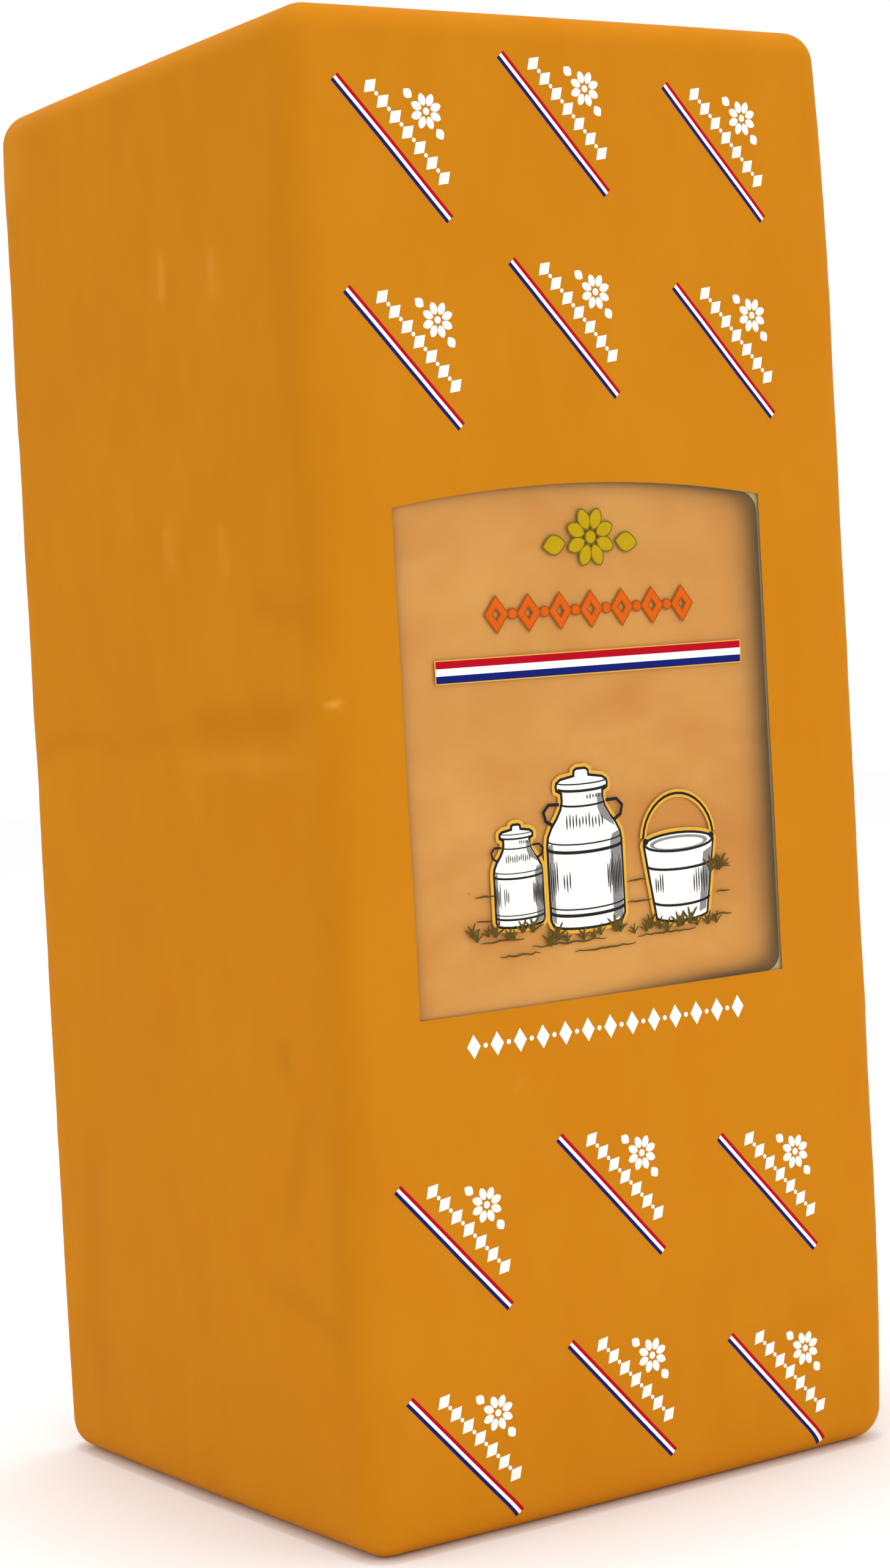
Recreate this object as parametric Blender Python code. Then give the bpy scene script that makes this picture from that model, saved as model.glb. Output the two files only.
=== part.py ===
"""Upright block of mimolette in a tight printed film with a clear window.

Metres, +Z up. The origin is the middle of the base. The printed front with the window faces -Y, and
the plain side beside it faces -X. Three pieces: the cheese runs through the whole block, the printed
film wraps it on all six sides, and the clear film closes the film's window.
"""

import math

import bmesh
import bpy

# Block
BLOCK_WIDTH = 0.1114
BLOCK_DEPTH = 0.1068
BLOCK_HEIGHT = 0.245
EDGE_RADIUS = 0.0055

# Film: drawn far thicker than a real vacuum film, so that it is a solid
FILM_THICKNESS = 0.0006
PIECE_GAP = 0.0003

# Window in the front, with square corners and an arched top edge
WINDOW_LEFT = -0.0419
WINDOW_RIGHT = 0.0337
WINDOW_BOTTOM = 0.0846
WINDOW_TOP = 0.1656
WINDOW_ARCH_RISE = 0.0029

# How far the block draws in towards its two ends, and how flat its sides are
END_ZONE = 0.045
END_TAPER_RIGHT = 0.0018
END_TAPER_OTHERS = 0.0001
SIDE_CROWN = 0.0005

# How much higher the top is for each metre to the right, and how far the back leans forward at the top
TOP_SLOPE = 0.028
BACK_LEAN = 0.0027

# Shallow hollow that the cheese has behind the window's edge
HOLLOW_DEPTH = 0.0009
HOLLOW_WIDTH = 0.0050

# Grid cells along an edge: in each half of a rounding, and in each flat stretch
ROUND_CELLS = 3
DEPTH_CELLS = 4
WINDOW_CELLS_ACROSS = 6
WINDOW_CELLS_UP = 5
BELOW_CELLS = 4
ABOVE_CELLS = 4

# Colour, metallic and roughness
CHEESE_FINISH = ((0.716, 0.356, 0.091), 0.0, 0.45)
PRINTED_FINISH = ((0.680, 0.238, 0.011), 0.0, 0.42)
CLEAR_FINISH = ((0.930, 0.900, 0.820), 0.0, 0.12)
CLEAR_ALPHA = 0.25

HALF_WIDTH = BLOCK_WIDTH / 2
HALF_DEPTH = BLOCK_DEPTH / 2


def clear_scene():
    """Removes everything the scene starts with."""
    for obj in list(bpy.data.objects):
        bpy.data.objects.remove(obj)


def finish(name, look, alpha=1.0):
    """A Principled material from a look of colour, metallic and roughness."""
    colour, metallic, roughness = look
    material = bpy.data.materials.new(name)
    material.use_nodes = True
    shader = material.node_tree.nodes["Principled BSDF"]
    shader.inputs["Base Color"].default_value = (*colour, 1.0)
    shader.inputs["Metallic"].default_value = metallic
    shader.inputs["Roughness"].default_value = roughness
    shader.inputs["Alpha"].default_value = alpha
    material.diffuse_color = (*colour, alpha)
    return material


def evenly(start, end, cells):
    """The stations that cut a stretch into equal cells, without its last one."""
    return [start + (end - start) * i / cells for i in range(cells)]


def stations(low, high, radius, inner):
    """Grid stations along one axis of a sharp box whose edges are to be rounded.

    The inner stations cover the flat stretch. Those in each rounding are spaced by the tangent of
    equal angles, so that the rounded edge gets equal facets.
    """
    steps = [radius * math.tan(math.pi / 4 * i / ROUND_CELLS) for i in range(1, ROUND_CELLS + 1)]
    before = [low + radius - step for step in reversed(steps)]
    after = [high - radius + step for step in steps]
    return before + inner + after


def across_stations(radius, inset):
    """Stations along X, with one on each upright edge of the window."""
    low = -HALF_WIDTH + inset
    high = HALF_WIDTH - inset
    inner = [low + radius]
    inner += evenly(WINDOW_LEFT, WINDOW_RIGHT, WINDOW_CELLS_ACROSS)
    inner += [WINDOW_RIGHT, high - radius]
    return stations(low, high, radius, inner)


def deep_stations(radius, inset):
    """Stations along Y."""
    low = -HALF_DEPTH + inset
    high = HALF_DEPTH - inset
    inner = evenly(low + radius, high - radius, DEPTH_CELLS) + [high - radius]
    return stations(low, high, radius, inner)


def upright_stations(radius, inset):
    """Stations along Z, with one on the window's bottom edge and one at the foot of its arch."""
    low = inset
    high = BLOCK_HEIGHT - inset
    inner = evenly(low + radius, WINDOW_BOTTOM, BELOW_CELLS)
    inner += evenly(WINDOW_BOTTOM, WINDOW_TOP, WINDOW_CELLS_UP)
    inner += evenly(WINDOW_TOP, high - radius, ABOVE_CELLS) + [high - radius]
    return stations(low, high, radius, inner)


def arch(x):
    """Height of the window's arched top edge over its foot at x."""
    middle = (WINDOW_LEFT + WINDOW_RIGHT) / 2
    reach = (x - middle) / ((WINDOW_RIGHT - WINDOW_LEFT) / 2)
    return WINDOW_ARCH_RISE * max(0.0, 1.0 - reach * reach)


def arch_share(z):
    """How much of the arch a grid row at height z follows: all of it at the window's top edge."""
    if z <= WINDOW_TOP:
        return max(0.0, (z - WINDOW_BOTTOM) / (WINDOW_TOP - WINDOW_BOTTOM))
    top = BLOCK_HEIGHT - EDGE_RADIUS
    return max(0.0, (top - z) / (top - WINDOW_TOP))


def rise(x):
    """How many times higher everything lies at x than on the straight block."""
    return 1.0 + TOP_SLOPE * x / BLOCK_HEIGHT


def drawn_in(x, y, z):
    """Moves a point of the straight block to where the real one has it.

    The sides are a little crowned and draw in towards both ends, most of all on the right. The back
    leans forward, and the top slopes up to the right.
    """
    from_end = min(z, BLOCK_HEIGHT - z)
    near_end = max(0.0, 1.0 - from_end / END_ZONE) ** 2
    across = x / HALF_WIDTH
    deep = y / HALF_DEPTH
    end_taper = END_TAPER_RIGHT if x > 0.0 else END_TAPER_OTHERS
    crown_x = SIDE_CROWN * deep * deep
    crown_y = SIDE_CROWN * across * across
    lean = BACK_LEAN * max(0.0, deep) * z / BLOCK_HEIGHT
    return (
        x - across * (end_taper * near_end + crown_x),
        y - deep * (END_TAPER_OTHERS * near_end + crown_y) - lean,
        z * rise(x),
    )


def rounded(point, low, high, radius):
    """The point of a sharp box's face, moved onto the box with rounded edges."""
    core = [min(max(c, a + radius), b - radius) for c, a, b in zip(point, low, high)]
    reach = [c - k for c, k in zip(point, core)]
    length = math.sqrt(sum(r * r for r in reach))
    return [k + r * radius / length for k, r in zip(core, reach)]


def in_window(x, z):
    """Whether a point of the front lies in the window's grid cells."""
    return WINDOW_LEFT < x < WINDOW_RIGHT and WINDOW_BOTTOM < z < WINDOW_TOP


def block_surface(inset, skip_window):
    """A closed grid over the rounded block, as a bmesh.

    Each face of the box is a grid on the stations of its two axes, and the corner points that
    neighbouring faces share are one vertex. With skip_window the window's cells are left open.
    """
    radius = EDGE_RADIUS - inset
    lines = (
        across_stations(radius, inset),
        deep_stations(radius, inset),
        upright_stations(radius, inset),
    )
    low = [line[0] for line in lines]
    high = [line[-1] for line in lines]
    mesh = bmesh.new()
    made = {}

    def vertex(key):
        """The vertex at a place in the grid, made when it is first asked for."""
        if key not in made:
            x, y, z = (line[i] for line, i in zip(lines, key))
            if key[1] == 0 and low[0] + radius <= x <= high[0] - radius:
                z += arch(x) * arch_share(z)
            made[key] = mesh.verts.new(drawn_in(*rounded((x, y, z), low, high, radius)))
        return made[key]

    for axis in range(3):
        first, second = [a for a in range(3) if a != axis]
        for side in (0, len(lines[axis]) - 1):
            for i in range(len(lines[first]) - 1):
                for j in range(len(lines[second]) - 1):
                    middle_first = (lines[first][i] + lines[first][i + 1]) / 2
                    middle_second = (lines[second][j] + lines[second][j + 1]) / 2
                    is_front = axis == 1 and side == 0
                    if skip_window and is_front and in_window(middle_first, middle_second):
                        continue
                    corners = []
                    for di, dj in ((0, 0), (1, 0), (1, 1), (0, 1)):
                        key = [0, 0, 0]
                        key[axis] = side
                        key[first] = i + di
                        key[second] = j + dj
                        corners.append(vertex(tuple(key)))
                    mesh.faces.new(corners)
    bmesh.ops.recalc_face_normals(mesh, faces=mesh.faces)
    return mesh


def add_object(name, mesh, material):
    """Turns a bmesh into a smooth-shaded object with one material."""
    data = bpy.data.meshes.new(name)
    mesh.to_mesh(data)
    mesh.free()
    data.materials.append(material)
    data.shade_smooth()
    data.set_sharp_from_angle(angle=math.radians(50))
    obj = bpy.data.objects.new(name, data)
    bpy.context.scene.collection.objects.link(obj)
    return obj


def thicken(obj):
    """Gives an open film its thickness, inwards from its outer face."""
    wall = obj.modifiers.new("film thickness", "SOLIDIFY")
    wall.thickness = FILM_THICKNESS
    wall.offset = -1.0
    wall.use_even_offset = True
    return wall


def printed_film():
    """The printed film: a wrap on all six sides, open at the window."""
    film = add_object(
        "printed_film",
        block_surface(0.0, skip_window=True),
        finish("printed film", PRINTED_FINISH),
    )
    thicken(film)
    return film


def hollow(x, z):
    """How deep the cheese lies back at a point of the front, behind the window's edge."""
    level = z / rise(x)
    to_side = min(x - WINDOW_LEFT, WINDOW_RIGHT - x)
    to_end = min(level - WINDOW_BOTTOM, WINDOW_TOP + arch(x) - level)
    inside = min(to_side, to_end)
    if inside < -PIECE_GAP:
        return 0.0
    return HOLLOW_DEPTH * max(0.0, 1.0 - max(0.0, inside) / HOLLOW_WIDTH)


def cheese():
    """The cheese: one block through the whole pack, with a shallow hollow behind the window's edge."""
    inset = FILM_THICKNESS + PIECE_GAP
    mesh = block_surface(inset, skip_window=False)
    front = -HALF_DEPTH + inset + SIDE_CROWN
    for vert in mesh.verts:
        if vert.co.y <= front:
            vert.co.y += hollow(vert.co.x, vert.co.z)
    return add_object("cheese", mesh, finish("mimolette", CHEESE_FINISH))


def window_film():
    """The clear film that closes the window, a gap clear of the printed film's rim."""
    left = WINDOW_LEFT + PIECE_GAP
    right = WINDOW_RIGHT - PIECE_GAP
    bottom = WINDOW_BOTTOM + PIECE_GAP
    top = WINDOW_TOP - PIECE_GAP
    mesh = bmesh.new()
    rows = []
    for j in range(WINDOW_CELLS_UP + 1):
        up = j / WINDOW_CELLS_UP
        row = []
        for i in range(WINDOW_CELLS_ACROSS + 1):
            x = left + (right - left) * i / WINDOW_CELLS_ACROSS
            z = bottom + (top + arch(x) - bottom) * up
            row.append(mesh.verts.new(drawn_in(x, -HALF_DEPTH, z)))
        rows.append(row)
    for lower, upper in zip(rows, rows[1:]):
        for i in range(WINDOW_CELLS_ACROSS):
            mesh.faces.new((lower[i], lower[i + 1], upper[i + 1], upper[i]))
    film = add_object("window_film", mesh, finish("clear film", CLEAR_FINISH, CLEAR_ALPHA))
    thicken(film)
    return film


def main():
    """Builds the three pieces."""
    clear_scene()
    cheese()
    printed_film()
    window_film()


main()
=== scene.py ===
"""Looks of an upright block of mimolette in a tight printed film with a clear window.

Metres, +Z up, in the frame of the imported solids: the base's middle is the origin, the printed front
faces -Y and the plain side beside it faces -X. Places on the front are given in millimetres from its
left edge and from the base, because that is how a printer would lay the film out.
"""

import logging
import math
import random
from dataclasses import dataclass, field
from enum import Enum

import bmesh
import bpy
import numpy as np
from mathutils import Matrix, Vector


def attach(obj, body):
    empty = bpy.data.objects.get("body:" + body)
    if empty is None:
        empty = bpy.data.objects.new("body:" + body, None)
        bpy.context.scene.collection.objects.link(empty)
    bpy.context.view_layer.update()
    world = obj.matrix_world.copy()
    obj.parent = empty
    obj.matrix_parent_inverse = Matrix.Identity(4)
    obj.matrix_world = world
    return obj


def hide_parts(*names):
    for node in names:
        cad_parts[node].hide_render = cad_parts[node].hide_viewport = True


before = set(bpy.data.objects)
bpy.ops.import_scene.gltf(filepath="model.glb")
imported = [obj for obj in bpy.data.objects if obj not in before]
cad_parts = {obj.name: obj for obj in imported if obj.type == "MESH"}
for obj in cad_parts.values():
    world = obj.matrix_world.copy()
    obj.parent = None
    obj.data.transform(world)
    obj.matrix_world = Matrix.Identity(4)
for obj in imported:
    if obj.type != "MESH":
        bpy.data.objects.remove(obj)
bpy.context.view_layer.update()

MM = 0.001
SHARP_ANGLE = math.radians(60)
log = logging.getLogger("mimolette")

Point = tuple[float, float]
Outline = list[Point]
Spot = tuple[float, float, float]
Stretch = tuple[float, float]


# Colours and nodes

# What Blender calls the nodes that come up most
NOISE = "ShaderNodeTexNoise"
SPAN = "ShaderNodeMapRange"
MIX = "ShaderNodeMix"
MATH = "ShaderNodeMath"
VECTOR_MATH = "ShaderNodeVectorMath"
VECTOR = "ShaderNodeCombineXYZ"
MAPPING = "ShaderNodeMapping"
ATTRIBUTE = "ShaderNodeAttribute"
BUMP = "ShaderNodeBump"
PRINCIPLED = "ShaderNodeBsdfPrincipled"
COPIES = "GeometryNodeInstanceOnPoints"
LINE = "GeometryNodeMeshLine"
ROTATION = "FunctionNodeAxisAngleToRotation"
RANDOM = "FunctionNodeRandomValue"


def linear(code: str) -> tuple[float, float, float, float]:
    """Turns an sRGB hex colour linear.

    Args:
        code: Six hex digits, as in "D8881B".

    Returns:
        Linear red, green and blue, and an alpha of 1.
    """
    parts = [int(code[i : i + 2], 16) / 255 for i in (0, 2, 4)]
    red, green, blue = (c / 12.92 if c <= 0.04045 else ((c + 0.055) / 1.055) ** 2.4 for c in parts)
    return red, green, blue, 1.0


def scale(size_mm: float) -> float:
    """The scale of a texture whose features are about that many millimetres across."""
    return 1 / (size_mm * MM)


def add(
    tree: bpy.types.NodeTree, kind: str, links: dict | None = None, **settings: object
) -> bpy.types.Node:
    """Adds a node with its settings and links.

    Args:
        tree: The node tree that it joins.
        kind: The node's type, as Blender names it.
        links: For an input's name or number, what feeds it: a socket, a node for its first live
            output, or a plain value.
        **settings: The node's own properties.

    Returns:
        The new node.
    """
    node = tree.nodes.new(kind)
    for name, value in settings.items():
        setattr(node, name, value)
    for key, value in (links or {}).items():
        if isinstance(value, bpy.types.Node):
            value = next(output for output in value.outputs if output.enabled)
        if isinstance(value, bpy.types.NodeSocket):
            tree.links.new(value, node.inputs[key])
        else:
            node.inputs[key].default_value = value
    return node


def new_material(name: str) -> tuple[bpy.types.Material, bpy.types.NodeTree]:
    """Makes an empty node material.

    Args:
        name: What the real material is.

    Returns:
        The material and its node tree.
    """
    material = bpy.data.materials.new(name)
    material.use_nodes = True
    material.node_tree.nodes.clear()
    return material, material.node_tree


# Finishes


@dataclass(frozen=True)
class PrintedFilmFinish:
    """Polyethylene vacuum film, printed solid orange: a satin skin, even in colour, faintly clouded."""

    main: str = "C57B15"
    pale: str = "C87F17"
    # Painted shade along the folds
    deep: str = "A4620C"
    # Painted highlight along the folds
    lit: str = "ECA846"
    roughness: float = 0.5
    uneven: float = 0.05
    specular: float = 0.008
    cloud_mm: float = 26.0
    streak_mm: float = 7.0
    # The real film's grain is finer: this is as coarse as it needs to be to show
    grain_mm: float = 0.9

    def material(self) -> bpy.types.Material:
        """Builds the satin orange film, with faint clouds in its ink and painted shade and highlights on its
        folds.

        Returns:
            The material, which reads the folds' painted shade and highlights from the mesh.
        """
        material, tree = new_material("printed polyethylene film")
        place = add(tree, "ShaderNodeTexCoord").outputs["Object"]
        clouds = add(
            tree, NOISE, {"Vector": place, "Scale": scale(self.cloud_mm), "Detail": 3.0, "Roughness": 0.55}
        )
        drawn = add(tree, MAPPING, {"Vector": place, "Scale": (1.0, 1.0, 0.4)})
        streaks = add(tree, NOISE, {"Vector": drawn, "Scale": scale(self.streak_mm), "Detail": 2.0})
        both = add(tree, MATH, {0: clouds, 1: streaks}, operation="ADD")
        cloudy = add(tree, SPAN, {"Value": both, "From Min": 0.75, "From Max": 1.25})
        # The mesh's shade: above 0 mixes in painted shade, below 0 a painted highlight
        shade = add(tree, ATTRIBUTE, attribute_name="shade").outputs["Fac"]
        light = add(tree, MATH, {0: shade, 1: -1.0}, operation="MULTIPLY")
        tone = linear(self.main)
        for share, code in ((cloudy, self.pale), (shade, self.deep), (light, self.lit)):
            tone = add(tree, MIX, {0: share, 6: tone, 7: linear(code)}, data_type="RGBA")
        least, most = self.roughness - self.uneven, self.roughness + self.uneven
        gloss = add(
            tree, SPAN, {"Value": clouds, "From Min": 0.3, "From Max": 0.7, "To Min": least, "To Max": most}
        )
        grain = add(tree, NOISE, {"Vector": place, "Scale": scale(self.grain_mm), "Detail": 2.0})
        bump = add(tree, BUMP, {"Height": grain, "Strength": 0.25, "Distance": 0.03 * MM})
        shader = add(
            tree, PRINCIPLED, {
                "Base Color": tone, "Roughness": gloss, "Normal": bump,
                "IOR": 1.5, "Specular IOR Level": self.specular,
            },
        )
        add(tree, "ShaderNodeOutputMaterial", {"Surface": shader})
        return material


@dataclass(frozen=True)
class CutCheeseFinish:
    """Mimolette paste behind film: a dense, slightly waxy body with soft clouds and a few specks."""

    paste: str = "C78B3F"
    pale: str = "D09950"
    warm: str = "C07F34"
    # Painted shade inside the window's edge, where its shadow falls on the paste
    painted_shade: str = "5A431A"
    liner: str = "B4A684"
    speck: str = "8A5A2A"
    roughness: float = 0.5
    cloud_mm: float = 22.0
    speck_mm: float = 9.0

    def material(self) -> bpy.types.Material:
        """Builds the paste, with clouds, veins and specks, and painted shade at the window's edge.

        Returns:
            The material, which reads the painted shade at the window's edge and where the liner begins from
            the mesh.
        """
        material, tree = new_material("mimolette paste")
        place = add(tree, "ShaderNodeTexCoord").outputs["Object"]
        clouds = add(
            tree, NOISE, {"Vector": place, "Scale": scale(self.cloud_mm), "Detail": 5.0, "Roughness": 0.6}
        )
        cloudy = add(tree, SPAN, {"Value": clouds, "From Min": 0.38, "From Max": 0.62})
        stretched = add(tree, MAPPING, {"Vector": place, "Scale": (0.6, 1.0, 1.6)})
        vein_scale = scale(2.2 * self.cloud_mm)
        veins = add(tree, NOISE, {"Vector": stretched, "Scale": vein_scale, "Detail": 6.0, "Distortion": 1.2})
        veined = add(tree, SPAN, {"Value": veins, "From Min": 0.5, "From Max": 0.66, "To Max": 0.75})
        cells = add(
            tree, "ShaderNodeTexVoronoi", {"Vector": place, "Scale": scale(self.speck_mm), "Randomness": 1.0}
        )
        near = cells.outputs["Distance"]
        specks = add(
            tree, SPAN, {"Value": near, "From Min": 0.018, "From Max": 0.045, "To Min": 0.5, "To Max": 0.0}
        )
        # How much painted shade falls inside the window's edge, from the mesh
        pressed = add(tree, ATTRIBUTE, attribute_name="pressed").outputs["Fac"]
        inside = add(tree, ATTRIBUTE, attribute_name="inside").outputs["Fac"]
        behind = add(
            tree, SPAN, {"Value": inside, "From Min": -0.05, "From Max": 0.05, "To Min": 1.0, "To Max": 0.0}
        )
        tone = linear(self.paste)
        for share, code in (
            (cloudy, self.pale), (veined, self.warm), (specks, self.speck), (pressed, self.painted_shade),
            (behind, self.liner),
        ):
            tone = add(tree, MIX, {0: share, 6: tone, 7: linear(code)}, data_type="RGBA")
        bump = add(tree, BUMP, {"Height": clouds, "Strength": 0.3, "Distance": 0.15 * MM})
        shader = add(
            tree, PRINCIPLED, {
                "Base Color": tone, "Roughness": self.roughness, "Normal": bump, "IOR": 1.45,
                "Specular IOR Level": 0.08, "Subsurface Weight": 0.12,
                "Subsurface Radius": (1.0, 0.45, 0.15), "Subsurface Scale": 2.0 * MM,
            },
        )
        add(tree, "ShaderNodeOutputMaterial", {"Surface": shader})
        return material


@dataclass(frozen=True)
class ClearFilmFinish:
    """Clear polyethylene film: it shows the paste through a thin, even gloss."""

    share: float = 0.01
    roughness: float = 0.2
    ripple_mm: float = 14.0
    tint: str = "FFFDF8"

    def material(self) -> bpy.types.Material:
        """Builds a nearly clear sheet with a little of its light from the gloss.

        Returns:
            The material.
        """
        material, tree = new_material("clear polyethylene film")
        place = add(tree, "ShaderNodeTexCoord").outputs["Object"]
        ripple = add(tree, NOISE, {"Vector": place, "Scale": scale(self.ripple_mm), "Detail": 1.0})
        bump = add(tree, BUMP, {"Height": ripple, "Strength": 0.3, "Distance": 0.3 * MM})
        through = add(tree, "ShaderNodeBsdfTransparent", {"Color": linear(self.tint)})
        gloss = add(
            tree, "ShaderNodeBsdfGlossy",
            {"Color": linear("FFFFFF"), "Roughness": self.roughness, "Normal": bump},
        )
        sheet = add(tree, "ShaderNodeMixShader", {0: self.share, 1: through, 2: gloss})
        add(tree, "ShaderNodeOutputMaterial", {"Surface": sheet})
        return material


class Ink(Enum):
    """Printing inks, by what they are used for."""

    RED = ("red ink", "B70820")
    WHITE = ("white ink", "FBF9F2")
    BLUE = ("blue ink", "121F6E")
    GOLD = ("olive gold ink", "BD9B12")
    OLIVE = ("dark olive ink", "7C6A1C")
    ORANGE = ("orange ink", "DB5F12")
    RUST = ("rust ink", "A8561C")
    HALO = ("yellow ink", "E5AE3E")
    BLACK = ("black ink", "262325")
    GREY = ("grey ink", "8D8B8A")
    EARTH = ("earth ink", "5E4C22")


@dataclass(frozen=True)
class InkFinish:
    """Flexographic ink on film: a flat, opaque layer that thins a little over the plate's surface."""

    ink: Ink
    roughness: float = 0.45
    mottle_mm: float = 1.1

    def material(self) -> bpy.types.Material:
        """Builds one ink, with the faint mottle of a flexible plate.

        Returns:
            The material.
        """
        name, code = self.ink.value
        material, tree = new_material(name)
        place = add(tree, "ShaderNodeTexCoord").outputs["Object"]
        mottle = add(tree, NOISE, {"Vector": place, "Scale": scale(self.mottle_mm), "Detail": 3.0})
        thin = add(
            tree, SPAN, {"Value": mottle, "From Min": 0.35, "From Max": 0.7, "To Min": 1.0, "To Max": 0.93}
        )
        colour = add(tree, MIX, {0: 1.0, 6: linear(code), 7: thin}, data_type="RGBA", blend_type="MULTIPLY")
        shader = add(
            tree, PRINCIPLED,
            {"Base Color": colour, "Roughness": self.roughness, "IOR": 1.5, "Specular IOR Level": 0.03},
        )
        add(tree, "ShaderNodeOutputMaterial", {"Surface": shader})
        return material


# Meshes


def in_scene(name: str, data: bpy.types.ID) -> bpy.types.Object:
    """Puts data in the scene as an object.

    Args:
        name: The object's name.
        data: Its mesh, light or camera.

    Returns:
        The new object.
    """
    obj = bpy.data.objects.new(name, data)
    bpy.context.scene.collection.objects.link(obj)
    return obj


def mesh_object(name: str, points: np.ndarray, faces: list | np.ndarray) -> bpy.types.Object:
    """Makes a mesh object in the scene.

    Args:
        name: The object's name.
        points: One row of X, Y and Z for each vertex.
        faces: The vertex numbers of each face.

    Returns:
        The new object.
    """
    mesh = bpy.data.meshes.new(name)
    mesh.from_pydata(np.asarray(points).tolist(), [], np.asarray(faces).tolist())
    mesh.update()
    return in_scene(name, mesh)


def applied(obj: bpy.types.Object) -> bpy.types.Object:
    """Turns an object's modifiers into its own plain mesh.

    Args:
        obj: The object, with live modifiers.

    Returns:
        The same object, with none left.
    """
    graph = bpy.context.evaluated_depsgraph_get()
    made = bpy.data.meshes.new_from_object(obj.evaluated_get(graph))
    old = obj.data
    obj.modifiers.clear()
    obj.data = made
    made.name = obj.name
    bpy.data.meshes.remove(old)
    return obj


def thicken(obj: bpy.types.Object, thickness: float) -> bpy.types.Object:
    """Gives an open sheet its thickness, inwards from its outer face.

    Args:
        obj: The sheet.
        thickness: How thick it becomes.

    Returns:
        The same object.
    """
    wall = obj.modifiers.new("thickness", "SOLIDIFY")
    wall.thickness = thickness
    wall.offset = -1.0
    return applied(obj)


def make_film(obj: bpy.types.Object, material: bpy.types.Material, thickness: float) -> None:
    """Turns a film's outer face into a sheet.

    Args:
        obj: The outer face.
        material: The film's material.
        thickness: How thick the film is.
    """
    obj.data.materials.append(material)
    thicken(obj, thickness)
    obj.data.shade_smooth()
    obj.data.set_sharp_from_angle(angle=SHARP_ANGLE)


def write_attribute(obj: bpy.types.Object, name: str, values: np.ndarray) -> None:
    """Writes one number for each vertex, for a material to read.

    Args:
        obj: The mesh object.
        name: The attribute's name.
        values: The numbers, in vertex order.
    """
    layer = obj.data.attributes.new(name, "FLOAT", "POINT")
    layer.data.foreach_set("value", np.asarray(values, np.float32))


def fade(away: np.ndarray, width: float | np.ndarray, power: float | np.ndarray) -> np.ndarray:
    """Falls from 1 at no distance towards 0, most of the way within the width."""
    return np.exp(-((away / width) ** power))


def waves(points: np.ndarray, length: float, seed: int) -> np.ndarray:
    """A smooth random field, from about -1 to 1.

    Args:
        points: The places to read it at, in metres.
        length: The typical distance from crest to crest, in metres.
        seed: Which field of that kind.

    Returns:
        One value for each point.
    """
    rng = np.random.default_rng(seed)
    total = np.zeros(len(points))
    count = 14
    for _ in range(count):
        way = rng.normal(size=3)
        way *= 2 * math.pi / length / np.linalg.norm(way) * rng.uniform(0.7, 1.4)
        total += np.sin(points @ way + rng.uniform(0, 2 * math.pi))
    return total / math.sqrt(count)


# The block's form


@dataclass(frozen=True)
class Crease:
    """A soft fold in the film along a line, in the block's own frame, in millimetres."""

    start: tuple[float, float, float]
    end: tuple[float, float, float]
    height: float
    width: float
    wobble: float
    shade: float
    shade_width: float
    wobble_length: float = 24.0

    def reach(self, points: np.ndarray) -> tuple[np.ndarray, np.ndarray]:
        """Finds how far points lie from the fold.

        Args:
            points: The places, in metres.

        Returns:
            Each point's distance from the line in millimetres, and the line's strength there, which
            fades towards its ends.
        """
        start = np.array(self.start)
        along = np.array(self.end) - start
        place = points / MM
        seed = int(sum(abs(c) for c in self.start + self.end) * 10)
        if self.wobble:
            bend = [waves(points, self.wobble_length * MM, seed + axis) for axis in range(3)]
            place = place + self.wobble * np.stack(bend, 1)
        share = np.clip((place - start) @ along / (along @ along), 0.0, 1.0)
        away = np.linalg.norm(place - start - share[:, None] * along, axis=1)
        return away, np.clip(6.0 * share * (1.0 - share), 0.15, 1.0)

    def lift(self, points: np.ndarray) -> np.ndarray:
        """How far the fold lifts the film at each point, in metres."""
        away, strength = self.reach(points)
        return self.height * MM * strength * fade(away, self.width, 2)

    def painted_shading(self, points: np.ndarray) -> np.ndarray:
        """How much painted shade the fold puts on the film at each point, and painted highlight below 0."""
        away, strength = self.reach(points)
        return self.shade * strength * fade(away, self.shade_width, 2)


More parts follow.
